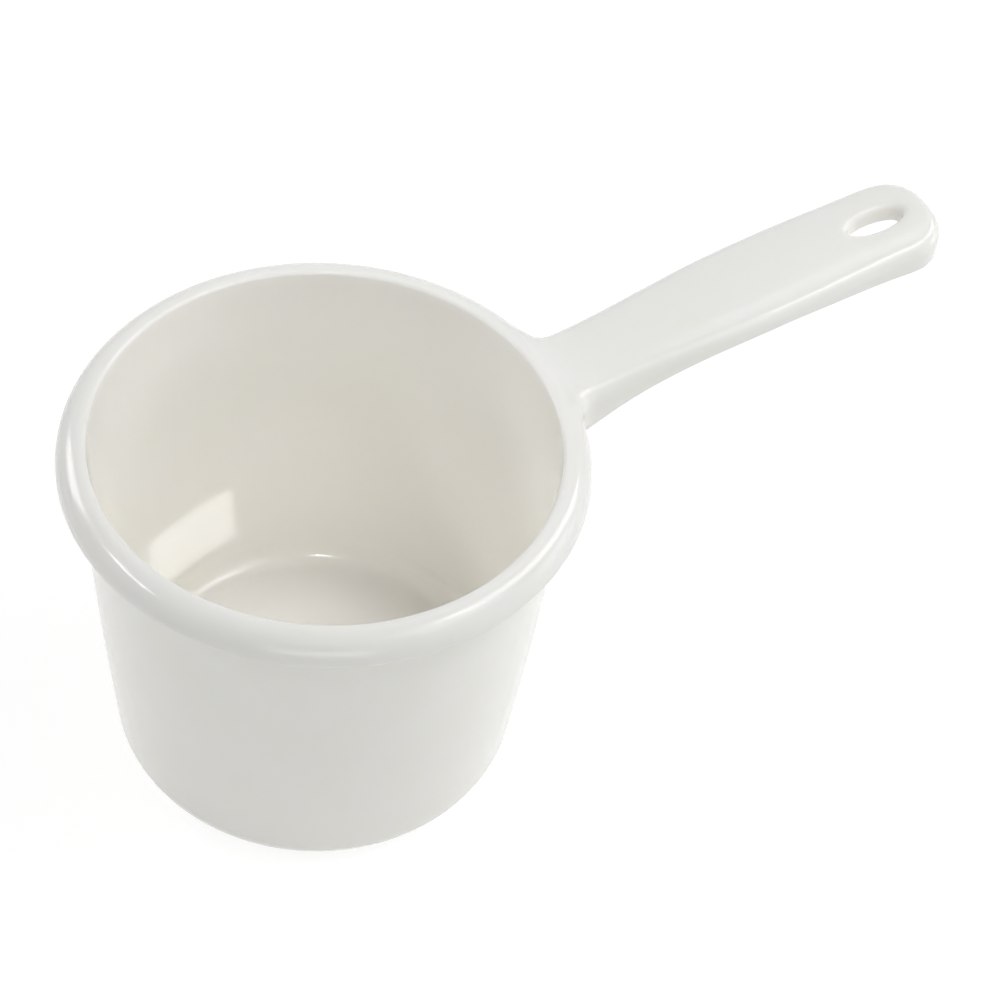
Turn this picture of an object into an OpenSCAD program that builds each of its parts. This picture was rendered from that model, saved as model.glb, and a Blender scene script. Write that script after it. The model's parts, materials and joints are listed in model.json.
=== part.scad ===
// Round water dipper, moulded in one piece: a tapered cup with a rolled lip, and a
// channel-shaped handle that rises to a hang hole near its tip.
// Millimetres, +Z up. The origin is the centre of the base, and the handle runs along +X.

/* [Cup] */
// Outer radius of the lip
lip_r = 80; // [66:1:100]
// Height of the lip's crest above the base
cup_h = 128; // [100:1:170]
// Radius of the flat base
base_r = 55.5; // [40:0.5:62]
// Outer radius of the corner between base and wall
corner_r = 9.6; // [5:0.2:14]
// Inner radius of the corner between floor and wall
inside_corner_r = 10; // [4:0.5:16]
// Thickness of the cup wall
wall_t = 2.6; // [1.6:0.1:3.4]
// Thickness of the floor
floor_t = 2.8; // [1.6:0.1:5]
// How far the wall bows outwards at mid height
wall_bow = 0.95; // [0:0.05:3]

/* [Lip] */
// Outer radius of the rolled lip's curl
lip_roll = 8; // [6:0.25:11]
// Thickness of the curl
lip_t = 2.4; // [1.4:0.1:3.2]
// Straight edge that hangs below the curl
lip_skirt = 0.8; // [0.4:0.1:5]
// Radius where the inside wall turns over into the lip
lip_edge_r = 1.2; // [0.6:0.1:2]

/* [Handle] */
// Reach of the handle beyond the lip
handle_len = 135.5; // [100:0.5:180]
// Width of the handle where it leaves the lip
neck_w = 29.6; // [24:0.2:34]
// Width of the handle at its widest
grip_w = 35.7; // [30:0.1:44]
// Width of the handle where its rounded tip starts
tip_w = 34; // [30:0.1:42]
// Radius of the corner between lip and handle, seen from above
neck_r = 10.2; // [6:0.2:14]
// Distance from the lip to where the handle starts to widen
swell_from = 12; // [8:1:30]
// Distance from the lip to where the handle is widest
swell_to = 70; // [50:1:90]
// Squareness of the tip, where 2 is a plain ellipse
tip_square = 2.6; // [2:0.05:3]
// Height of the lip's crest above the top of the handle at the lip
handle_step = 3; // [2:0.1:4.5]
// Height that the top of the handle gains from the lip to its tip
handle_rise = 20.8; // [0:0.2:40]
// How far the top of the handle arches above a straight line
handle_arch = 1.8; // [0:0.1:5]
// How far the sides of the top fall below its middle
crown = 1.45; // [0.4:0.05:2.5]
// Radius of the long top edges
edge_r = 5; // [3.5:0.1:6.5]
// Thickness of the handle's shell
handle_t = 2.4; // [1.6:0.1:3]
// Depth of the side skirts at the tip
tip_depth = 13.2; // [10:0.2:18]
// Extra fall of the skirts' lower edge from the tip back to the lip
skirt_fall = 26.2; // [18:0.2:32]

/* [Hang hole] */
// Length of the hole along the handle
hole_len = 20.5; // [16:0.5:32]
// Width of the hole
hole_w = 8; // [7:0.2:13]
// Distance from the tip to the middle of the hole
hole_from_tip = 20.5; // [17:0.5:40]
// Radius of the rounded edge round the hole
hole_edge_r = 2.5; // [1.5:0.1:3]
// Thickness of the collar that hangs below the hole
collar_t = 2.2; // [1.4:0.1:2.6]
// Depth of the collar below the top of the handle
collar_depth = 6.5; // [4:0.1:9]

/* [Hidden] */
$fn = 96;
plastic = "#E9E8E3";

// Cup outline
lip_z = cup_h - lip_roll;
roll_r = lip_r - lip_roll;
wall_top_z = cup_h - lip_edge_r;
wall_top_r = roll_r - lip_edge_r + wall_t;
wall_low_r = base_r + corner_r;
curl_in = lip_roll - lip_t;
curl_mid = lip_roll - lip_t / 2;
arc_steps = 10;
roll_steps = 16;
wall_steps = 14;
edge_from = 105;
lip_edge_steps = 5;

// Handle outline
tip_x = lip_r + handle_len;
tip_len = tip_w / 2;
tip_start = tip_x - tip_len;
taper_from = lip_r + swell_to + swell_from;
handle_z = cup_h - handle_step;
edge_turn = 78;
sink = 0.2;
seat_r = lip_r - sink;
corner_x = sqrt(pow(seat_r + neck_r, 2) - pow(neck_w / 2 + neck_r, 2));
corner_y = neck_w / 2 + neck_r;
corner_from = atan2(corner_y, corner_x);
saddle_from = lip_r - lip_roll / 2;
saddle_len = 7.2;
crown_half = grip_w / 2 - edge_r;
flare_rows = 10;
side_rows = 20;
tip_rows = 9;
last_row = flare_rows + side_rows + tip_rows;
edge_steps = 5;
across_steps = 8;
row_points = 2 * (edge_steps + 2) + across_steps - 1;
foot_lift = 0.3;
probe = 0.5;

// Webs below the lip
web_inset = 0.2;
web_lift = 0.6;
web_t = handle_t - 2 * web_inset;
web_y = neck_w / 2 - handle_t / 2;
web_from = wall_middle_x(low_line(roll_r));
web_to = corner_x + neck_r / 2;
web_roof_from = wall_middle_x(lip_z + curl_mid);
web_roof_to = sqrt(pow(saddle_from, 2) - pow(web_y, 2));
web_end_z = lip_z + web_lift;
web_steps = 6;

// Hang hole
hole_x = tip_x - hole_from_tip;
hole_sides = 48;
hole_turn = 20;
hole_steps = 5;

// Points of an arc in order, as [radius, height] about a centre
function arc(c, r, from, to, steps) =
    [for (i = [0 : steps]) let (a = from + (to - from) * i / steps) [c[0] + r * cos(a), c[1] + r * sin(a)]];

// A smooth step from 0 to 1
function ease(x) = let (t = min(1, max(0, x))) t * t * (3 - 2 * t);

// Outer radius of the wall at height z
function wall_r(z) =
    let (t = (z - corner_r) / (wall_top_z - corner_r))
    wall_low_r + (wall_top_r - wall_low_r) * t + 4 * wall_bow * t * (1 - t);

// Lean of the wall from upright where it meets the corner
wall_lean = atan((wall_r(corner_r + 1) - wall_r(corner_r)));

// Distance along the handle at which a web meets the middle of the wall
function wall_middle_x(z) = sqrt(pow(wall_r(z) - wall_t / 2, 2) - pow(web_y, 2));

// Height of the top of the handle on its middle line
function top_line(x) =
    let (t = (x - lip_r) / handle_len)
    handle_z + handle_rise * t + 4 * handle_arch * t * (1 - t);

// Height of the skirts' lower edge
function low_line(x) = top_line(tip_x) - tip_depth - skirt_fall * pow((tip_x - x) / handle_len, 3);

// Height of the lip's roll at a distance from the cup's axis
function roll_z(r) = lip_z + sqrt(pow(lip_roll, 2) - pow(max(0, r - roll_r), 2));

// Height of the handle's top before it meets the lip: the crown fades in along the neck
function plain_top(x, y) =
    top_line(x) - crown * ease((x - roll_r) / (lip_roll + swell_from)) * pow(y / crown_half, 2);

// Height of the handle's top: it lies just inside the lip's roll, then sweeps down off it
function top_z(x, y) =
    let (r = norm([x, y]),
         left = max(0, 1 - (r - saddle_from) / saddle_len),
         foot = [x, y] * saddle_from / r,
         lift = roll_z(saddle_from) - sink - plain_top(foot[0], foot[1]))
    r < saddle_from ? roll_z(r) - sink : plain_top(x, y) + lift * left * left;

// Half the handle's width, as far as the rounded tip
function half_width(x) =
    neck_w / 2
    + (grip_w - neck_w) / 2 * ease((x - lip_r - swell_from) / (swell_to - swell_from))
    - (grip_w - tip_w) / 2 * ease((x - taper_from) / (tip_start - taper_from));

// One row of the handle's plan: [x, y] of its edge, the outward normal and the edge radius
function flare_row(t) =
    let (a = corner_from + (90 - corner_from) * t)
    [[corner_x - neck_r * cos(a), corner_y - neck_r * sin(a)],
     [cos(a), sin(a)],
     edge_r + (lip_roll - sink - edge_r) * pow(1 - t, 2)];

function side_row(t) =
    let (x = corner_x + (tip_start - corner_x) * t,
         lean = (half_width(x + probe) - half_width(x - probe)) / (2 * probe))
    [[x, half_width(x)], [-lean, 1] / norm([lean, 1]), edge_r];

function tip_row(t) =
    let (a = 90 * t,
         u = pow(sin(a), 2 / tip_square),
         v = pow(cos(a), 2 / tip_square),
         n = [pow(u, tip_square - 1) / tip_len, pow(v, tip_square - 1) / (tip_w / 2)])
    [[tip_start + tip_len * u, tip_w / 2 * v], n / norm(n), edge_r];

function plan_row(i) =
    i < flare_rows ? flare_row(i / flare_rows)
    : i < flare_rows + side_rows ? side_row((i - flare_rows) / side_rows)
    : tip_row((i - flare_rows - side_rows) / tip_rows);

// Height of the skirt's lower edge in a row, which climbs to the lip's edge at the neck
function row_low(i, x) =
    let (t = ease(i / flare_rows))
    (lip_z - lip_skirt + foot_lift) * (1 - t) + low_line(x) * t;

// Half of one row of the shell's surface, from the skirt's foot to the end of the rounded
// edge. depth is 0 for the outer surface and the shell's thickness for the inner one.
function half_row(i, depth) =
    let (row = plan_row(i),
         p = row[0],
         n = row[1],
         r = row[2] - depth,
         reach = depth + r * (1 - cos(edge_turn)),
         end = p - n * reach,
         end_z = top_z(end[0], end[1]) - depth,
         side = p - n * depth)
    concat([[side[0], side[1], row_low(i, p[0])]],
           [for (k = [0 : edge_steps])
               let (a = edge_turn * k / edge_steps,
                    q = p - n * (depth + r * (1 - cos(a))))
               [q[0], q[1], end_z - r * (sin(edge_turn) - sin(a))]]);

// How far the middle of a row bows outwards, so that the first row follows the lip
function row_bow(i, end) =
    i < flare_rows ? (norm(end) - end[0]) * pow(1 - i / flare_rows, 2) : 0;

function mirrored(points) = [for (i = [len(points) - 1 : -1 : 0]) [points[i][0], -points[i][1], points[i][2]]];

// One whole row, from the left skirt's foot over the top to the right one
function whole_row(i, depth) =
    let (half = half_row(i, depth),
         end = [half[edge_steps + 1][0], half[edge_steps + 1][1]],
         bow = row_bow(i, end))
    concat(half,
           [for (k = [1 : across_steps - 1])
               let (t = 1 - 2 * k / across_steps,
                    x = end[0] + bow * (1 - t * t),
                    y = end[1] * t)
               [x, y, top_z(x, y) - depth]],
           mirrored(half));

// Two triangles of a quad, leaving out any that has shrunk to a line at the tip
function quad(a, b, c, d) =
    concat(a != b && b != c && a != c ? [[a, b, c]] : [],
           a != c && c != d && a != d ? [[a, c, d]] : []);

// Index of a point in the shell: at the tip both halves of a row share their points
function at(sheet, i, j) =
    let (start = sheet * (last_row * row_points + edge_steps + 2))
    i < last_row ? start + i * row_points + j
    : start + last_row * row_points + min(j, row_points - 1 - j, edge_steps + 1);

// Outline of the cup's solid section, as [radius, height]
function cup_section() =
    let (hollow_turn = acos((wall_top_r - roll_r) / curl_in),
         inside_z = floor_t + inside_corner_r,
         inside_r = wall_r(inside_z) - wall_t - inside_corner_r / cos(wall_lean))
    concat([[0, 0]],
           arc([base_r, corner_r], corner_r, -90, -wall_lean, arc_steps),
           [for (k = [1 : wall_steps])
               let (z = corner_r + (lip_z - corner_r) * k / wall_steps) [wall_r(z), z]],
           arc([roll_r, lip_z], curl_in, hollow_turn, 0, arc_steps),
           [[roll_r + curl_in, lip_z - lip_skirt], [lip_r, lip_z - lip_skirt]],
           arc([roll_r, lip_z], lip_roll, 0, 90, roll_steps),
           arc([roll_r, wall_top_z], lip_edge_r, edge_from, 180, lip_edge_steps),
           [for (k = [1 : wall_steps])
               let (z = wall_top_z + (inside_z - wall_top_z) * k / wall_steps) [wall_r(z) - wall_t, z]],
           arc([inside_r, inside_z], inside_corner_r, -wall_lean, -90, arc_steps),
           [[0, floor_t]]);

// The cup with its rolled lip
module cup() {
    rotate_extrude() polygon(cup_section());
}

// The handle's open channel: top, rounded edges and side skirts in one shell
module channel() {
    sheets = [0, 1];
    points = [for (s = sheets) each concat([for (i = [0 : last_row - 1]) each whole_row(i, s * handle_t)],
                                           half_row(last_row, s * handle_t))];
    top_faces = [for (i = [0 : last_row - 1], j = [0 : row_points - 2])
        each quad(at(0, i, j), at(0, i + 1, j), at(0, i + 1, j + 1), at(0, i, j + 1))];
    under_faces = [for (i = [0 : last_row - 1], j = [0 : row_points - 2])
        each quad(at(1, i, j), at(1, i, j + 1), at(1, i + 1, j + 1), at(1, i + 1, j))];
    left_foot = [for (i = [0 : last_row - 1])
        each quad(at(0, i, 0), at(1, i, 0), at(1, i + 1, 0), at(0, i + 1, 0))];
    right_foot = [for (i = [0 : last_row - 1])
        each quad(at(0, i, row_points - 1), at(0, i + 1, row_points - 1),
                  at(1, i + 1, row_points - 1), at(1, i, row_points - 1))];
    root_faces = [for (j = [0 : row_points - 2])
        each quad(at(0, 0, j), at(0, 0, j + 1), at(1, 0, j + 1), at(1, 0, j))];
    polyhedron(points, concat(top_faces, under_faces, left_foot, right_foot, root_faces), convexity = 6);
}

// A web that carries one skirt back under the lip to the cup wall. Its top runs inside the
// lip's curl and then down inside the rounded edge of the handle.
module web(side) {
    foot = [for (k = [0 : web_steps])
        let (x = web_from + (web_to - web_from) * k / web_steps)
        [x, low_line(x) + web_inset]];
    roof = [for (k = [0 : web_steps])
        let (x = web_roof_to + (web_roof_from - web_roof_to) * k / web_steps,
             out = max(0, norm([x, web_y]) - roll_r))
        [x, lip_z + sqrt(pow(curl_mid, 2) - pow(out, 2))]];
    translate([0, side * web_y + web_t / 2, 0])
        rotate([90, 0, 0])
            linear_extrude(web_t)
                polygon(concat(foot, [[web_to, web_end_z], [corner_x, web_end_z]], roof));
}

// A closed oval solid that follows the handle's top. Each ring is [growth, depth].
module oval_stack(rings) {
    turn = 360 / hole_sides;
    points = [for (ring = rings, k = [0 : hole_sides - 1])
        let (x = hole_x + (hole_len / 2 + ring[0]) * cos(turn * k),
             y = (hole_w / 2 + ring[0]) * sin(turn * k))
        [x, y, top_z(x, y) - ring[1]]];
    n = len(rings);
    sides = [for (i = [0 : n - 2], k = [0 : hole_sides - 1])
        let (m = (k + 1) % hole_sides)
        each quad(i * hole_sides + k, i * hole_sides + m, (i + 1) * hole_sides + m, (i + 1) * hole_sides + k)];
    strip = [for (k = [0 : hole_sides / 2 - 1])
        each quad(k, (hole_sides - k) % hole_sides, hole_sides - 1 - k, k + 1)];
    foot = (n - 1) * hole_sides;
    ends = concat([for (f = strip) f],
                  [for (f = strip) [foot + f[0], foot + f[2], foot + f[1]]]);
    polyhedron(points, concat(sides, ends), convexity = 4);
}

// Solid of the collar that hangs below the hang hole
module collar() {
    oval_stack([[collar_t, handle_t / 2], [collar_t, collar_depth]]);
}

// What is cut away for the hang hole, with its rounded upper edge
module hang_hole() {
    flare = [for (k = [0 : hole_steps])
        let (a = hole_turn + (90 - hole_turn) * k / hole_steps)
        [hole_edge_r * (1 - sin(a)), hole_edge_r * (1 - cos(a))]];
    over = 2;
    mouth = [flare[0][0] + over, flare[0][1] - over];
    oval_stack(concat([mouth], flare, [[0, collar_depth + over]]));
}

module handle() {
    difference() {
        union() {
            channel();
            collar();
        }
        hang_hole();
    }
    web(-1);
    web(1);
}

module dipper() {
    color(plastic) union() {
        cup();
        handle();
    }
}

dipper();
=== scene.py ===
import json
import math

import bmesh
import bpy
import numpy as np
from mathutils import Matrix, Quaternion, Vector

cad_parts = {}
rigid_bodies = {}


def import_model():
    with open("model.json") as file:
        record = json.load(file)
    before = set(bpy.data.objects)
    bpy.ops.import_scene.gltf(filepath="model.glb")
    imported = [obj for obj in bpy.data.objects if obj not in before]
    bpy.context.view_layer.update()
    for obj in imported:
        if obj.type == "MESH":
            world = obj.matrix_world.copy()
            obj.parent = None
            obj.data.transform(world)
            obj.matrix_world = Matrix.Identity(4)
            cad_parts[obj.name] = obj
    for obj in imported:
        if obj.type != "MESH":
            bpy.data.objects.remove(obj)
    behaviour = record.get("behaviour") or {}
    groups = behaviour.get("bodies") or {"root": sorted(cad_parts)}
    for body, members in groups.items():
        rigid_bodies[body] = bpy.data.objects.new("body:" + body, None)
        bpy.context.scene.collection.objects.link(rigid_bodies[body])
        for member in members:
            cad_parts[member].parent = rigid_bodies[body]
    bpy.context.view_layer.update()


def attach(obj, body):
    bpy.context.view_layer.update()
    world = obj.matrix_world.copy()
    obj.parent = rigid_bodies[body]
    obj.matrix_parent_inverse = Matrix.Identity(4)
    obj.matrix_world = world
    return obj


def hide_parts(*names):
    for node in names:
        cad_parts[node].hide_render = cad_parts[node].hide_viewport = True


for name in ("Cube", "Light", "Camera"):             # Blender's own start objects
    if name in bpy.data.objects:
        bpy.data.objects.remove(bpy.data.objects[name])
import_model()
mm = 0.001
cubicCm = 1e-6

# Sizes are in millimetres, in the frame of the CAD: base centre at the origin, handle along +X.
cup = {
    "lipRadius": 80.0,
    "height": 128.0,
    "baseRadius": 55.5,
    "baseCorner": 9.6,
    "floorCorner": 10.0,
    "wall": 2.6,
    "floor": 2.8,
    "bow": 0.95,
    "lipRoll": 8.0,       # outer radius of the lip's curl
    "lipWall": 2.4,
    "lipSkirt": 0.8,      # straight edge below the curl
    "lipEdge": 1.2,       # where the inside wall turns over into the lip
    "footRound": 0.55,    # rounding of the lip's and the skirts' lower edges
    "lipTurn": 78.5,      # degrees up the curl at which the lip's section meets the crest
    "rings": (0, 0.25, 0.5, 0.75, 0.93),    # shares of a flat disc's radius that get a ring
    "wallSteps": 30,
    "cornerSteps": 14,
    "crestSteps": 2,
    "lipEdgeSteps": 8,
    "underLipSteps": 3,
    "footSteps": 3,
}

handle = {
    "length": 135.5,
    "neckWidth": 29.6,
    "gripWidth": 35.7,
    "tipWidth": 34.0,
    "neckFillet": 10.2,
    "swellFrom": 12.0,
    "swellTo": 70.0,
    "tipSquare": 2.6,
    "stepBelowLip": 3.0,
    "rise": 20.8,
    "arch": 1.8,
    "crown": 1.45,
    "edge": 5.0,
    "shell": 2.4,
    "tipDepth": 13.2,
    "skirtFall": 26.2,
    "edgeTurn": 78.0,     # degrees that the rounded edge turns before the crowned top
    "saddleLength": 7.2,
    "flareRows": 18,
    "sideRows": 58,
    "tipRows": 26,
    "acrossSteps": 24,
    "arcSteps": 10,
    "sideSteps": 5,
    "patchLoops": 7,
    "webInset": 0.2,      # the webs lie this far inside the skirts' faces
    "webLift": 0.6,       # height of a web's outer end above the middle of the lip's curl
    "webSteps": 24,
}

hangHole = {
    "length": 20.5,
    "width": 8.0,
    "fromTip": 20.5,
    "edge": 2.3,
    "edgeStart": 17.0,    # degrees: the rounded edge starts here, where it leaves the top
    "collar": 2.2,
    "depth": 6.5,
    "fillet": (0.6, 0.18),    # size of the collar's inner corner, and how far its middle stands off
    "round": (0.4, 0.12),     # the same for the collar's and the hole's lower edges
    "clear": 0.35,        # least distance from the rounded edge to the border of its loops
    "edgeSteps": 8,
    "wallSteps": 3,
    "patchFrom": 38.0,    # length of handle round the hole that is meshed in loops
}

lipZ = cup["height"] - cup["lipRoll"]
rollRadius = cup["lipRadius"] - cup["lipRoll"]
wallTopZ = cup["height"] - cup["lipEdge"]
wallTopRadius = rollRadius - cup["lipEdge"] + cup["wall"]
curlInside = cup["lipRoll"] - cup["lipWall"]
tipX = cup["lipRadius"] + handle["length"]
tipStart = tipX - handle["tipWidth"] / 2
crownHalf = handle["gripWidth"] / 2 - handle["edge"]
saddleFrom = cup["lipRadius"] - cup["lipRoll"] / 2
fillet = handle["neckFillet"]
cornerY = handle["neckWidth"] / 2 + fillet
cornerX = math.sqrt((cup["lipRadius"] + fillet) ** 2 - cornerY ** 2)
neckAngle = math.atan2(cornerY, cornerX)
holeX = tipX - hangHole["fromTip"]


def ease(x):
    t = min(1.0, max(0.0, x))
    return t * t * (3 - 2 * t)


def mix(a, b, t):
    return a + (b - a) * t


def wallRadius(z):
    t = (z - cup["baseCorner"]) / (wallTopZ - cup["baseCorner"])
    low = cup["baseRadius"] + cup["baseCorner"]
    return mix(low, wallTopRadius, t) + 4 * cup["bow"] * t * (1 - t)


def topLine(x):
    t = (x - cup["lipRadius"]) / handle["length"]
    return (cup["height"] - handle["stepBelowLip"] + handle["rise"] * t
            + 4 * handle["arch"] * t * (1 - t))


def lowLine(x):
    t = (tipX - x) / handle["length"]
    return topLine(tipX) - handle["tipDepth"] - handle["skirtFall"] * t ** 3


def rollZ(r):
    return lipZ + math.sqrt(max(0.0, cup["lipRoll"] ** 2 - max(0.0, r - rollRadius) ** 2))


def plainTop(x, y):
    fade = ease((x - rollRadius) / (cup["lipRoll"] + handle["swellFrom"]))
    return topLine(x) - handle["crown"] * fade * (y / crownHalf) ** 2


# Height of the handle's top: the lip's roll first, then a saddle that sweeps down off it
def topZ(x, y):
    r = math.hypot(x, y)
    if r <= saddleFrom:
        return rollZ(r)
    left = max(0.0, 1 - (r - saddleFrom) / handle["saddleLength"])
    lift = rollZ(saddleFrom) - plainTop(x * saddleFrom / r, y * saddleFrom / r)
    return plainTop(x, y) + lift * left * left


def halfWidth(x):
    swell = ease((x - cup["lipRadius"] - handle["swellFrom"])
                 / (handle["swellTo"] - handle["swellFrom"]))
    taperFrom = cup["lipRadius"] + handle["swellTo"] + handle["swellFrom"]
    taper = ease((x - taperFrom) / (tipStart - taperFrom))
    return (handle["neckWidth"] / 2 + (handle["gripWidth"] - handle["neckWidth"]) / 2 * swell
            - (handle["gripWidth"] - handle["tipWidth"]) / 2 * taper)


# The rim's section, for the lip and for the handle's side alike: from the roof's end, down
# inside, round the lower edge and up outside to the end of the rounded top edge.
# Each point is [distance in from the outer face, height].
def rimSection(radius, turnOut, turnIn, low, topEnd, roofEnd, thick):
    inner = radius - thick
    foot = cup["footRound"]
    n, m = handle["arcSteps"], handle["sideSteps"]
    out = []
    for k in range(n + 1):
        a = turnIn * (1 - k / n)
        out.append((thick + inner * (1 - math.cos(a)),
                    roofEnd - inner * (math.sin(turnIn) - math.sin(a))))
    start = out[-1][1]
    for k in range(1, m + 1):
        out.append((thick, mix(start, low + foot, k / m)))
    steps = cup["footSteps"]
    for k in range(1, steps + 1):
        a = math.pi / 2 * k / steps
        out.append((thick - foot * (1 - math.cos(a)), low + foot * (1 - math.sin(a))))
    out.append((thick / 2, low))
    for k in range(steps + 1):
        a = math.pi / 2 * (1 - k / steps)
        out.append((foot * (1 - math.cos(a)), low + foot * (1 - math.sin(a))))
    top0 = topEnd - radius * math.sin(turnOut)
    for k in range(1, m + 1):
        out.append((0.0, mix(low + foot, top0, k / m)))
    for k in range(1, n + 1):
        a = turnOut * k / n
        out.append((radius * (1 - math.cos(a)),
                    topEnd - radius * (math.sin(turnOut) - math.sin(a))))
    return out


lipTurn = math.radians(cup["lipTurn"])
hollowTurn = math.acos((wallTopRadius - rollRadius) / curlInside)
crestRadius = rollRadius + cup["lipRoll"] * math.cos(lipTurn)
lipRim = rimSection(cup["lipRoll"], lipTurn, hollowTurn, lipZ - cup["lipSkirt"],
                    rollZ(crestRadius), lipZ + curlInside * math.sin(hollowTurn), cup["lipWall"])


def outsideSection():
    n = cup["cornerSteps"]
    lean = math.atan(wallRadius(cup["baseCorner"] + 1) - wallRadius(cup["baseCorner"]))
    out = [(cup["baseRadius"] * t, 0.0) for t in cup["rings"]]
    for k in range(n + 1):
        a = mix(-math.pi / 2, -lean, k / n)
        out.append((cup["baseRadius"] + cup["baseCorner"] * math.cos(a),
                    cup["baseCorner"] + cup["baseCorner"] * math.sin(a)))
    n = cup["wallSteps"]
    start = out[-1][1]
    for k in range(1, n + 1):
        z = mix(start, lipZ, k / n)
        out.append((wallRadius(z), z))
    n = cup["underLipSteps"]
    for k in range(1, n):
        z = mix(lipZ, lipZ + curlInside * math.sin(hollowTurn), k / n)
        out.append((mix(wallRadius(lipZ), wallTopRadius, k / n), z))
    out.append((cup["lipRadius"] - lipRim[0][0], lipRim[0][1]))
    return out


def insideSection():
    out = [(cup["lipRadius"] - lipRim[-1][0], lipRim[-1][1])]
    n = cup["crestSteps"]
    for k in range(1, n + 1):
        a = mix(lipTurn, math.pi / 2, k / n)
        out.append((rollRadius + cup["lipRoll"] * math.cos(a), lipZ + cup["lipRoll"] * math.sin(a)))
    n, edge = cup["lipEdgeSteps"], cup["lipEdge"]
    for k in range(1, n + 1):
        a = math.pi / 2 * (1 + k / n)
        out.append((rollRadius + edge * math.cos(a), wallTopZ + edge * math.sin(a)))
    corner = cup["floorCorner"]
    floorZ = cup["floor"] + corner
    n = cup["wallSteps"]
    for k in range(1, n + 1):
        z = mix(wallTopZ, floorZ, k / n)
        out.append((wallRadius(z) - cup["wall"], z))
    lean = math.atan(wallRadius(floorZ + 1) - wallRadius(floorZ))
    centre = wallRadius(floorZ) - cup["wall"] - corner * math.cos(lean)
    n = cup["cornerSteps"]
    for k in range(1, n + 1):
        a = mix(-lean, -math.pi / 2, k / n)
        out.append((centre + corner * math.cos(a), floorZ + corner * math.sin(a)))
    flat = out[-1][0]
    out += [(flat * t, cup["floor"]) for t in reversed(cup["rings"])]
    return out


# Adds one node to a tree with its settings, its fixed values and its links
def addNode(tree, kind, settings=None, values=None, links=None):
    node = tree.nodes.new(kind)
    for key, value in (settings or {}).items():
        setattr(node, key, value)
    for key, value in (values or {}).items():
        node.inputs[key].default_value = value
    for key, source in (links or {}).items():
        tree.links.new(source, node.inputs[key])
    return node


# Geometry Nodes: turns a section (points in X and Z) round the cup's axis
def makeTurningTree():
    tree = bpy.data.node_groups.new("turnedWall", "GeometryNodeTree")
    face = tree.interface
    face.new_socket("Section", in_out="INPUT", socket_type="NodeSocketGeometry")
    for name, kind in (("Start Angle", "NodeSocketFloat"), ("End Angle", "NodeSocketFloat"),
                       ("Steps", "NodeSocketInt"), ("Finish", "NodeSocketMaterial")):
        face.new_socket(name, in_out="INPUT", socket_type=kind)
    face.new_socket("Wall", in_out="OUTPUT", socket_type="NodeSocketGeometry")
    ins = addNode(tree, "NodeGroupInput")
    size = addNode(tree, "GeometryNodeAttributeDomainSize", {"component": "MESH"},
                   links={"Geometry": ins.outputs["Section"]})
    more = addNode(tree, "ShaderNodeMath", {"operation": "ADD"}, {1: 1.0},
                   {0: ins.outputs["Steps"]})
    grid = addNode(tree, "GeometryNodeMeshGrid",
                   links={"Vertices X": more.outputs[0], "Vertices Y": size.outputs["Point Count"]})
    index = addNode(tree, "GeometryNodeInputIndex")
    row = addNode(tree, "ShaderNodeMath", {"operation": "MODULO"},
                  links={0: index.outputs[0], 1: size.outputs["Point Count"]})
    ratio = addNode(tree, "ShaderNodeMath", {"operation": "DIVIDE"},
                    links={0: index.outputs[0], 1: size.outputs["Point Count"]})
    column = addNode(tree, "ShaderNodeMath", {"operation": "FLOOR"}, links={0: ratio.outputs[0]})
    share = addNode(tree, "ShaderNodeMath", {"operation": "DIVIDE"},
                    links={0: column.outputs[0], 1: ins.outputs["Steps"]})
    angle = addNode(tree, "ShaderNodeMapRange", {"clamp": False},
                    links={"Value": share.outputs[0], "To Min": ins.outputs["Start Angle"],
                           "To Max": ins.outputs["End Angle"]})
    place = addNode(tree, "GeometryNodeInputPosition")
    point = addNode(tree, "GeometryNodeSampleIndex",
                    {"data_type": "FLOAT_VECTOR", "domain": "POINT"},
                    links={"Geometry": ins.outputs["Section"], "Value": place.outputs[0],
                           "Index": row.outputs[0]})
    split = addNode(tree, "ShaderNodeSeparateXYZ", links={0: point.outputs[0]})
    cosine = addNode(tree, "ShaderNodeMath", {"operation": "COSINE"}, links={0: angle.outputs[0]})
    sine = addNode(tree, "ShaderNodeMath", {"operation": "SINE"}, links={0: angle.outputs[0]})
    x = addNode(tree, "ShaderNodeMath", {"operation": "MULTIPLY"},
                links={0: split.outputs["X"], 1: cosine.outputs[0]})
    y = addNode(tree, "ShaderNodeMath", {"operation": "MULTIPLY"},
                links={0: split.outputs["X"], 1: sine.outputs[0]})
    turned = addNode(tree, "ShaderNodeCombineXYZ",
                     links={"X": x.outputs[0], "Y": y.outputs[0], "Z": split.outputs["Z"]})
    moved = addNode(tree, "GeometryNodeSetPosition",
                    links={"Geometry": grid.outputs["Mesh"], "Position": turned.outputs[0]})
    real = addNode(tree, "GeometryNodeRealizeInstances", links={"Geometry": moved.outputs[0]})
    paint = addNode(tree, "GeometryNodeSetMaterial",
                    links={"Geometry": real.outputs[0], "Material": ins.outputs["Finish"]})
    outs = addNode(tree, "NodeGroupOutput")
    tree.links.new(paint.outputs[0], outs.inputs["Wall"])
    return tree


def meshObject(name, points, faces=(), edges=()):
    mesh = bpy.data.meshes.new(name)
    mesh.from_pydata([tuple(c * mm for c in p) for p in points], edges, faces)
    obj = bpy.data.objects.new(name, mesh)
    bpy.context.scene.collection.objects.link(obj)
    return obj


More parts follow.
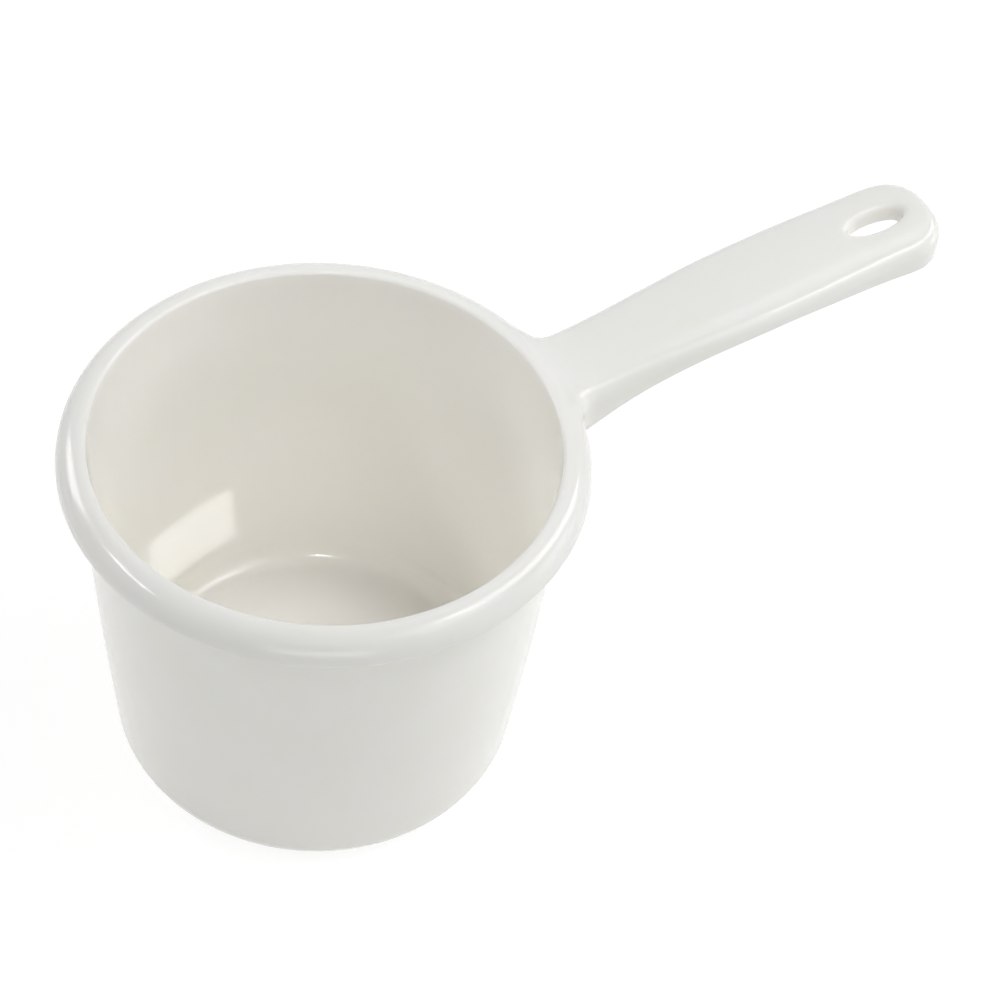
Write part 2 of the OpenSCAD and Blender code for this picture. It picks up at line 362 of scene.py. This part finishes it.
# Runs the tree on a section and returns the finished points (mm) and faces
def turnSection(tree, section, start, end, steps, finish):
    points = [(r, 0.0, z) for r, z in section]
    obj = meshObject("section", points, edges=[(k, k + 1) for k in range(len(points) - 1)])
    mod = obj.modifiers.new("turn", "NODES")
    mod.node_group = tree
    want = {"Start Angle": start, "End Angle": end, "Steps": steps, "Finish": finish}
    for item in tree.interface.items_tree:
        if item.item_type == "SOCKET" and item.in_out == "INPUT" and item.name in want:
            mod[item.identifier] = want[item.name]
    obj.update_tag()
    seen = obj.evaluated_get(bpy.context.evaluated_depsgraph_get())
    mesh = bpy.data.meshes.new_from_object(seen)
    out = [tuple(v.co / mm) for v in mesh.vertices], [tuple(f.vertices) for f in mesh.polygons]
    bpy.data.objects.remove(obj)
    bpy.data.meshes.remove(mesh)
    return out


# Rows of the handle's plan: [point on the outer face, outward normal, edge radius, blend to lip]
def planRows():
    rows = []
    n = handle["flareRows"]
    for i in range(n):
        t = i / n
        a = mix(neckAngle, math.pi / 2, t)
        radius = handle["edge"] + (cup["lipRoll"] - handle["edge"]) * (1 - t) ** 2
        rows.append(((cornerX - fillet * math.cos(a), cornerY - fillet * math.sin(a)),
                     (math.cos(a), math.sin(a)), radius, t))
    n = handle["sideRows"]
    for i in range(n):
        x = mix(cornerX, tipStart, i / n)
        lean = halfWidth(x + 0.5) - halfWidth(x - 0.5)
        size = math.hypot(lean, 1)
        rows.append(((x, halfWidth(x)), (-lean / size, 1 / size), handle["edge"], 1.0))
    n, square, half = handle["tipRows"], handle["tipSquare"], handle["tipWidth"] / 2
    for i in range(n + 1):
        a = math.pi / 2 * i / n
        u, v = math.sin(a) ** (2 / square), max(0.0, math.cos(a)) ** (2 / square)
        nx, ny = u ** (square - 1), v ** (square - 1)
        size = math.hypot(nx, ny)
        if i == n:
            v, nx, ny, size = 0.0, 1.0, 0.0, 1.0
        rows.append(((tipStart + half * u, half * v), (nx / size, ny / size), handle["edge"], 1.0))
    return rows


# One row's rim as 3-D points, from the roof's end to the top's end
def rimRow(row):
    (px, py), (nx, ny), radius, t = row
    thick = handle["shell"]
    turnOut = mix(lipTurn, math.radians(handle["edgeTurn"]), ease(t))
    turnIn = mix(hollowTurn, math.radians(handle["edgeTurn"]), ease(t))
    reachOut = radius * (1 - math.cos(turnOut))
    reachIn = thick + (radius - thick) * (1 - math.cos(turnIn))
    topEnd = topZ(px - nx * reachOut, py - ny * reachOut)
    roofEnd = topZ(px - nx * reachIn, py - ny * reachIn) - thick
    gap = lipRim[0][1] - (rollZ(cup["lipRadius"] - lipRim[0][0]) - thick)
    roofEnd += gap * (1 - t) ** 2
    low = mix(lipZ - cup["lipSkirt"], lowLine(px), ease(t))
    return [(px - nx * d, py - ny * d, z)
            for d, z in rimSection(radius, turnOut, turnIn, low, topEnd, roofEnd, thick)]


# Points across one row of the top or roof: on the lip's circle at first, then straight
def acrossRow(end, t, drop, level=None):
    n = handle["acrossSteps"]
    r, half = math.hypot(end[0], end[1]), math.atan2(end[1], end[0])
    out = []
    for k in range(n + 1):
        a = half * (1 - 2 * k / n)
        s = ease(t)
        x = mix(r * math.cos(a), end[0], s)
        y = mix(r * math.sin(a), end[1] * (1 - 2 * k / n), s)
        z = topZ(x, y) - drop
        if level is not None:
            z = mix(level, z, 1 - (1 - t) ** 2)
        out.append((x, y, z))
    out[0], out[-1] = tuple(end), (end[0], -end[1], end[2])
    return out


# Faces between two or more point rows of the same length
def gridFaces(points, rows, closed=False):
    base, faces = len(points), []
    n = len(rows[0])
    for row in rows:
        points += row
    for i in range(len(rows) - 1):
        for j in range(n if closed else n - 1):
            a, b = base + i * n + j, base + i * n + (j + 1) % n
            faces.append((a, b, b + n, a + n))
    return faces


# Oval round the hang hole, one point for each point of the patch's border
def ovalPoint(phi, growth):
    return (holeX + (hangHole["length"] / 2 + growth) * math.cos(phi),
            (hangHole["width"] / 2 + growth) * math.sin(phi))


# A closed border of the top (or roof), filled in with loops down to the hang hole.
# Each growth is [how much wider than the hole, depth below the top (or roof)].
def holeLoops(border, drop, growths):
    widest, sink = growths[0]
    a, b = hangHole["length"] / 2 + widest, hangHole["width"] / 2 + widest
    phis = [math.atan2(p[1] / b, (p[0] - holeX) / a) for p in border]
    first = []
    for phi, p in zip(phis, border):                # the oval keeps clear of the border
        q = ovalPoint(phi, widest)
        size = math.hypot(q[0] - holeX, q[1])
        away = math.hypot(p[0] - q[0], p[1] - q[1])
        if math.hypot(p[0] - holeX, p[1]) <= size:
            away = -away
        pull = min(0.0, away - hangHole["clear"])
        first.append((q[0] + (q[0] - holeX) / size * pull, q[1] + q[1] / size * pull, pull))
    loops = [border]
    n = handle["patchLoops"]
    for k in range(1, n + 1):
        s = k / n
        loop = []
        for p, q in zip(border, first):
            x, y = mix(p[0], q[0], s), mix(p[1], q[1], s)
            loop.append((x, y, topZ(x, y) - drop - sink * s ** 3))
        loops.append(loop)
    for growth, depth in growths[1:]:
        loop = []
        share = min(1.0, growth / widest)
        for phi, q in zip(phis, first):
            x, y = ovalPoint(phi, growth)
            size = math.hypot(x - holeX, y)
            x, y = x + (x - holeX) / size * q[2] * share, y + y / size * q[2] * share
            loop.append((x, y, topZ(x, y) - drop - depth))
        loops.append(loop)
    return loops


# The rounded upper edge, the wall and the lower edge of the hole
def holeSteps():
    edge, start = hangHole["edge"], math.radians(hangHole["edgeStart"])
    bottom, n, m = hangHole["depth"], hangHole["edgeSteps"], hangHole["wallSteps"]
    size, middle = hangHole["round"]
    out = []
    for k in range(n + 1):
        a = mix(start, math.pi / 2, k / n)
        out.append((edge * (1 - math.sin(a)), edge * (1 - math.cos(a))))
    out += [(0.0, mix(edge, bottom - size, k / m)) for k in range(1, m + 1)]
    return out + [(middle, bottom - middle), (size, bottom)]


# The collar round the hole, from the handle's roof down to the lower edge
def collarSteps():
    tube, bottom = hangHole["collar"], hangHole["depth"] - handle["shell"]
    inner, innerMiddle = hangHole["fillet"]
    size, middle = hangHole["round"]
    return [(tube + inner, 0.0), (tube + innerMiddle, innerMiddle), (tube, inner),
            (tube, mix(inner, bottom, 0.5)), (tube, bottom - size),
            (tube - middle, bottom - middle), (tube - size, bottom)]


def makeHandle():
    points, faces = [], []
    rows = planRows()
    rims = [rimRow(row) for row in rows]
    flip = [[(x, -y, z) for x, y, z in rim] for rim in rims]
    faces += gridFaces(points, rims)
    faces += gridFaces(points, flip)
    patchX = tipX - hangHole["patchFrom"]
    cut = next(i for i, row in enumerate(rows) if row[0][0] > patchX)
    tops = [acrossRow(rims[i][-1], rows[i][3], 0.0) for i in range(cut + 1)]
    roofs = [acrossRow(rims[i][0], rows[i][3], handle["shell"], lipRim[0][1])
             for i in range(cut + 1)]
    faces += gridFaces(points, tops)
    faces += gridFaces(points, roofs)

    def border(k, across):
        left = [rims[i][k] for i in range(cut, len(rows))]
        right = [flip[i][k] for i in range(len(rows) - 2, cut - 1, -1)]
        return left + right + across[-2:0:-1]

    holeTop = holeLoops(border(-1, tops[cut]), 0.0, holeSteps())
    faces += gridFaces(points, holeTop, closed=True)
    holeRoof = holeLoops(border(0, roofs[cut]), handle["shell"], collarSteps())
    faces += gridFaces(points, holeRoof, closed=True)
    faces += gridFaces(points, [holeTop[-1], holeRoof[-1]], closed=True)
    return points, faces


# Distance along the handle at which a web meets the middle of the cup's wall
def webSeat(z, y):
    return math.sqrt((wallRadius(z) - cup["wall"] / 2) ** 2 - y ** 2)


# The two webs that carry the skirts back under the lip to the cup's wall. A web's top runs
# inside the lip's curl and then down inside the rounded edge of the handle.
def makeWeb(side):
    n, inset = handle["webSteps"], handle["webInset"]
    half = handle["shell"] / 2 - inset
    y0 = handle["neckWidth"] / 2 - handle["shell"] / 2
    middle = cup["lipRoll"] - cup["lipWall"] / 2
    x0, x1 = webSeat(lowLine(rollRadius), y0), cornerX + fillet / 2
    roof0, roof1 = webSeat(lipZ + middle, y0), math.sqrt(saddleFrom ** 2 - y0 ** 2)
    low = [(mix(x0, x1, k / n), lowLine(mix(x0, x1, k / n)) + inset) for k in range(n + 1)]
    high = [(x1, lipZ + handle["webLift"]), (cornerX, lipZ + handle["webLift"])]
    for k in range(n - 1):
        x = mix(roof1, roof0, k / (n - 2))
        out = max(0.0, math.hypot(x, y0) - rollRadius)
        high.append((x, lipZ + math.sqrt(middle ** 2 - out ** 2)))
    ring = low + high
    points = [(x, side * y0 + y, z) for y in (-half, half) for x, z in ring]
    m = len(ring)
    faces = [(k, (k + 1) % m, m + (k + 1) % m, m + k) for k in range(m)]
    for k in range(n):
        a, b, c, d = k, k + 1, m - 2 - k, m - 1 - k
        faces += [(a, b, c, d), (m + d, m + c, m + b, m + a)]
    return points, faces


# Welds a mesh, turns its faces outward and returns its count of open edges and its volume
def closedMesh(obj, dist):
    bm = bmesh.new()
    bm.from_mesh(obj.data)
    bmesh.ops.remove_doubles(bm, verts=bm.verts, dist=dist)
    bmesh.ops.dissolve_degenerate(bm, edges=bm.edges, dist=dist / 4)
    bmesh.ops.recalc_face_normals(bm, faces=bm.faces)
    if bm.calc_volume(signed=True) < 0:
        bmesh.ops.reverse_faces(bm, faces=bm.faces)
    loose = [e for e in bm.edges if len(e.link_faces) != 2]
    volume = bm.calc_volume(signed=True)
    bm.to_mesh(obj.data)
    bm.free()
    return len(loose), volume


plastic = {
    "body": "#FDFAF4",        # pearl-white masterbatch, a little warm
    "flow": "#FAF6EF",        # slightly greyer where the melt ran thin
    "roughness": (0.13, 0.2),     # a polished mould, over its fine grain
    "ior": 1.49,
    "depth": 3.0,             # mm that light travels in the wall
    "tint": (1.0, 1.0, 0.95), # share of that depth for red, green and blue light
    "glow": 1.0,              # share of light that goes into the wall
    "wave": {"size": 22.0, "depth": 0.02, "detail": 2.0, "rough": 0.45},     # mm: sink and flow
    "grain": {"size": 0.45, "depth": 0.0006, "detail": 3.0, "rough": 0.6},   # mm: polish marks
}


def linear(hexColour):
    parts = [int(hexColour[k:k + 2], 16) / 255 for k in (1, 3, 5)]
    return [c / 12.92 if c <= 0.04045 else ((c + 0.055) / 1.055) ** 2.4 for c in parts]


def emptyMaterial(name):
    mat = bpy.data.materials.new(name)
    mat.use_nodes = True
    mat.node_tree.nodes.clear()
    return mat, mat.node_tree


def addDiffuse(tree, hexColour):
    return addNode(tree, "ShaderNodeBsdfDiffuse", None, {"Color": (*linear(hexColour), 1)})


# A white light of the given strength, as a surface's glow or as the world's background
def addWhite(tree, kind, strength):
    return addNode(tree, kind, None, {"Color": (1, 1, 1, 1), "Strength": strength})


def addOutput(tree, kind, source):
    addNode(tree, kind, links={"Surface": source.outputs[0]})


def addPick(tree, share, first, second):
    return addNode(tree, "ShaderNodeMixShader",
                   links={0: share.outputs[0], 1: first.outputs[0], 2: second.outputs[0]})


def addNoise(tree, where, noise):
    return addNode(tree, "ShaderNodeTexNoise", {"noise_dimensions": "3D"},
                   {"Scale": 1 / (noise["size"] * mm), "Detail": noise["detail"],
                    "Roughness": noise["rough"]},
                   {"Vector": where.outputs["Object"]})


# Injection-moulded polypropylene: a wet-looking gloss over a milky body that lets some light in
def makePlastic():
    mat, tree = emptyMaterial("pearlPolypropylene")
    where = addNode(tree, "ShaderNodeTexCoord")
    wave, grain = (addNoise(tree, where, plastic[k]) for k in ("wave", "grain"))
    tone = addNode(tree, "ShaderNodeMix", {"data_type": "RGBA"},
                   links={"Factor": wave.outputs["Fac"]})
    tone.inputs[6].default_value = (*linear(plastic["body"]), 1)      # its two colour sockets
    tone.inputs[7].default_value = (*linear(plastic["flow"]), 1)
    slow = addNode(tree, "ShaderNodeBump", None,
                   {"Strength": 1.0, "Distance": plastic["wave"]["depth"] * mm},
                   {"Height": wave.outputs["Fac"]})
    fine = addNode(tree, "ShaderNodeBump", None,
                   {"Strength": 1.0, "Distance": plastic["grain"]["depth"] * mm},
                   {"Height": grain.outputs["Fac"], "Normal": slow.outputs[0]})
    rough = addNode(tree, "ShaderNodeMapRange", None,
                    {"To Min": plastic["roughness"][0], "To Max": plastic["roughness"][1]},
                    {"Value": grain.outputs["Fac"]})
    shader = addNode(tree, "ShaderNodeBsdfPrincipled", None,
                     {"IOR": plastic["ior"], "Subsurface Weight": plastic["glow"],
                      "Subsurface Radius": plastic["tint"],
                      "Subsurface Scale": plastic["depth"] * mm},
                     {"Base Color": tone.outputs[2], "Roughness": rough.outputs[0],
                      "Normal": fine.outputs[0]})
    addOutput(tree, "ShaderNodeOutputMaterial", shader)
    return mat


welding = {
    "body": 3e-6,             # metres within which points are one
    "web": 1e-6,
    "sharp": 40,              # degrees between faces that stay a crisp edge
}

print("material: polypropylene")
finish = makePlastic()

print("cup: turning the sections")
tree = makeTurningTree()
acrossSteps = handle["acrossSteps"]
roundSteps = round((2 * math.pi - 2 * neckAngle) / (2 * neckAngle) * acrossSteps)
outside, inside = outsideSection(), insideSection()
lipSection = [(cup["lipRadius"] - d, z) for d, z in lipRim]
whole = outside + lipSection[1:] + inside[1:]
points, faces = [], []
for section, start, end, steps in ((whole, neckAngle, 2 * math.pi - neckAngle, roundSteps),
                                   (outside, -neckAngle, neckAngle, acrossSteps),
                                   (inside, -neckAngle, neckAngle, acrossSteps)):
    p, f = turnSection(tree, section, start, end, steps, finish)
    base = len(points)
    points += p
    faces += [tuple(base + v for v in face) for face in f]

print("handle: rows, patch and hang hole")
p, f = makeHandle()
base = len(points)
points += p
faces += [tuple(base + v for v in face) for face in f]
body = meshObject("dipperBody", points, faces)
body.data.materials.append(finish)
loose, volume = closedMesh(body, welding["body"])
print("body: open edges", loose, "volume cm3", round(volume / cubicCm, 2))

for side in (-1, 1):
    p, f = makeWeb(side)
    web = meshObject("web", p, f)
    web.data.materials.append(finish)
    loose, volume = closedMesh(web, welding["web"])
    print("web: open edges", loose, "volume cm3", round(volume / cubicCm, 2))
    mod = body.modifiers.new("union", "BOOLEAN")
    mod.operation, mod.object, mod.solver = "UNION", web, "EXACT"
    joined = body.evaluated_get(bpy.context.evaluated_depsgraph_get())
    mesh = bpy.data.meshes.new_from_object(joined)
    body.modifiers.clear()
    old, body.data = body.data, mesh
    bpy.data.meshes.remove(old)
    bpy.data.objects.remove(web)
loose, volume = closedMesh(body, welding["web"])
print("joined: open edges", loose, "volume cm3", round(volume / cubicCm, 2))
for poly in body.data.polygons:
    poly.use_smooth = True
body.data.set_sharp_from_angle(angle=math.radians(welding["sharp"]))

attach(body, "root")
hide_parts("dipper")

print("stage: floor, lights and camera")
studio = {
    "floor": "#F4F4F2",       # what the floor sends back to the dipper
    "floorHalf": 8.0,         # metres from its middle to its edge
    "floorDrop": 0.2,         # mm under the base
    "seenFloor": "#818180",   # its share of lamp light and shadow where it is seen itself
    "seenGlow": 0.87,         # and the rest of its white there
    "fade": (0.32, 0.75),     # metres from the dipper over which the seen floor turns plain white
    "ambient": 0.2,
    "aim": (30, 0, 80),       # mm, where the lamps point unless they say otherwise
    # Azimuth, elevation and roll in degrees, distance and size in metres
    "lamps": {
        "key": {"from": (-13, 47), "distance": 1.4, "size": (0.4, 1.4), "roll": 37,
                "watts": 8.0},
        "overhead": {"from": (30, 64), "distance": 1.5, "size": (0.16, 0.72), "roll": -23,
                     "watts": 0.6},
        "rightFront": {"from": (-58, 52), "distance": 1.4, "size": (0.7, 0.7), "watts": 2.8},
        "leftLine": {"from": (160, 38), "distance": 1.4, "size": (0.45, 0.08), "watts": 2.0},
        "leftBack": {"from": (122, 28), "distance": 1.4, "size": (0.5, 0.5), "watts": 4.0},
        "front": {"from": (-118, 12), "distance": 1.5, "size": (1.0, 0.5), "watts": 3.0},
        "rightLow": {"from": (-20, 12), "distance": 1.5, "size": (0.6, 0.6), "watts": 1.5},
        # Spots have a cone in degrees instead of a face
        "well": {"from": (62, 85), "distance": 0.7, "size": (0.02, 0.02), "watts": 2.8,
                 "aim": (0, 0, 3), "cone": 8.0, "blend": 0.5},
        "inside": {"from": (-118, 58), "distance": 1.2, "size": (0.1, 0.1), "watts": 11.0,
                   "aim": (31, 58, 60), "cone": 6.5, "blend": 0.9},
        "insideRight": {"from": (150, 44), "distance": 1.2, "size": (0.1, 0.1), "watts": 6.0,
                        "aim": (58, -31, 75), "cone": 6.0, "blend": 0.9},
        "window": {"from": (-71, 42), "distance": 0.6, "size": (0.0005, 0.0005), "watts": 4.0,
                   "aim": (-18, 61.2, 25), "cone": 7.0, "blend": 0.1, "slot": (6.1, 3.1)},
    },
    "card": {"distance": 0.1, "half": 9.0},   # metres from its spot; mm from its middle to its edge
}
view = {
    "place": (-251.7, -470.3, 702.7),   # mm
    "azimuth": -33.89,                  # degrees
    "elevation": 48.17,
    "roll": 6.897,
    "focal": 2.63537,                   # focal length over the picture's width
    "sensor": 36.0,                     # mm
    "clip": (0.01, 20),                 # metres
}


def direction(azimuth, elevation):
    a, e = math.radians(azimuth), math.radians(elevation)
    return Vector((math.cos(a) * math.cos(e), math.sin(a) * math.cos(e), math.sin(e)))


# 1 where the background is seen: directly, in a gloss or through something clear
def seenRays(tree):
    rays = addNode(tree, "ShaderNodeLightPath")
    seen = addNode(tree, "ShaderNodeMath", {"operation": "MAXIMUM"},
                   links={0: rays.outputs["Is Camera Ray"], 1: rays.outputs["Is Glossy Ray"]})
    return addNode(tree, "ShaderNodeMath", {"operation": "MAXIMUM"},
                   links={0: seen.outputs[0], 1: rays.outputs["Is Transmission Ray"]})


# Seamless white paper: an even matt white that keeps a soft shadow near the dipper
def makeFloor():
    half = studio["floorHalf"] / mm
    obj = meshObject("floor", [(x, y, -studio["floorDrop"])
                               for x, y in ((-half, -half), (half, -half), (half, half), (-half, half))],
                     [(0, 1, 2, 3)])
    mat, tree = emptyMaterial("paperSweep")
    paper, seen = (addDiffuse(tree, studio[k]) for k in ("floor", "seenFloor"))
    glow = addWhite(tree, "ShaderNodeEmission", studio["seenGlow"])
    both = addNode(tree, "ShaderNodeAddShader", links={0: seen.outputs[0], 1: glow.outputs[0]})
    plain = addWhite(tree, "ShaderNodeEmission", 1.0)
    where = addNode(tree, "ShaderNodeTexCoord")
    away = addNode(tree, "ShaderNodeVectorMath", {"operation": "LENGTH"},
                   links={0: where.outputs["Object"]})
    fade = addNode(tree, "ShaderNodeMapRange", {"interpolation_type": "SMOOTHSTEP"},
                   {"From Min": studio["fade"][0], "From Max": studio["fade"][1]},
                   {"Value": away.outputs["Value"]})
    near = addPick(tree, fade, both, plain)
    addOutput(tree, "ShaderNodeOutputMaterial", addPick(tree, seenRays(tree), paper, near))
    obj.data.materials.append(mat)
    return obj


def makeWorld():
    world = bpy.data.worlds.new("studio")
    bpy.context.scene.world = world
    world.use_nodes = True
    tree = world.node_tree
    tree.nodes.clear()
    soft = addWhite(tree, "ShaderNodeBackground", studio["ambient"])
    white = addWhite(tree, "ShaderNodeBackground", 1.0)
    addOutput(tree, "ShaderNodeOutputWorld", addPick(tree, seenRays(tree), soft, white))


# A black card with a slot close to a spot, which gives its beam straight edges
def makeCard(spot, slot):
    card = studio["card"]
    half, x, y, z = card["half"], slot[0] / 2, slot[1] / 2, -card["distance"] / mm
    flat = [(-half, -half), (half, -half), (half, half), (-half, half),
            (-x, -y), (x, -y), (x, y), (-x, y)]
    turn = spot.matrix_basis
    points = [turn @ (Vector((a, b, z)) * mm) / mm for a, b in flat]
    obj = meshObject("slotCard", points, [(0, 1, 5, 4), (1, 2, 6, 5), (2, 3, 7, 6), (3, 0, 4, 7)])
    mat, tree = emptyMaterial("blackCard")
    addOutput(tree, "ShaderNodeOutputMaterial", addDiffuse(tree, "#000000"))
    obj.data.materials.append(mat)
    obj.visible_camera = obj.visible_diffuse = False      # it only casts a shadow
    obj.visible_glossy = obj.visible_transmission = False


def makeLamp(name, lamp):
    data = bpy.data.lights.new(name, "SPOT" if "cone" in lamp else "AREA")
    data.energy = lamp["watts"]
    if "cone" in lamp:
        data.spot_size, data.spot_blend = math.radians(lamp["cone"]), lamp["blend"]
        data.shadow_soft_size = lamp["size"][0] / 2
    else:
        data.shape = "RECTANGLE"
        data.size, data.size_y = lamp["size"]
    obj = bpy.data.objects.new(name, data)
    bpy.context.scene.collection.objects.link(obj)
    aim = Vector(lamp.get("aim", studio["aim"])) * mm
    obj.location = aim + direction(*lamp["from"]) * lamp["distance"]
    roll = Quaternion((0, 0, 1), math.radians(lamp.get("roll", 0)))
    obj.rotation_euler = ((aim - obj.location).to_track_quat("-Z", "Y") @ roll).to_euler()
    if "slot" in lamp:
        makeCard(obj, lamp["slot"])


def makeCamera():
    data = bpy.data.cameras.new("camera")
    data.sensor_width, data.lens = view["sensor"], view["sensor"] * view["focal"]
    data.clip_start, data.clip_end = view["clip"]
    cam = bpy.data.objects.new("camera", data)
    bpy.context.scene.collection.objects.link(cam)
    a, e, roll = (math.radians(view[k]) for k in ("azimuth", "elevation", "roll"))
    back = Vector((math.sin(a) * math.cos(e), -math.cos(a) * math.cos(e), math.sin(e)))
    side = Vector((math.cos(a), math.sin(a), 0))
    rise = back.cross(side)
    right = side * math.cos(roll) + rise * math.sin(roll)
    up = rise * math.cos(roll) - side * math.sin(roll)
    turn = Matrix((right, up, back)).transposed().to_4x4()
    turn.translation = Vector(view["place"]) * mm
    cam.matrix_world = turn
    bpy.context.scene.camera = cam


makeFloor()
makeWorld()
for name, lamp in studio["lamps"].items():
    makeLamp(name, lamp)
makeCamera()
bpy.context.scene.view_settings.view_transform = "Standard"
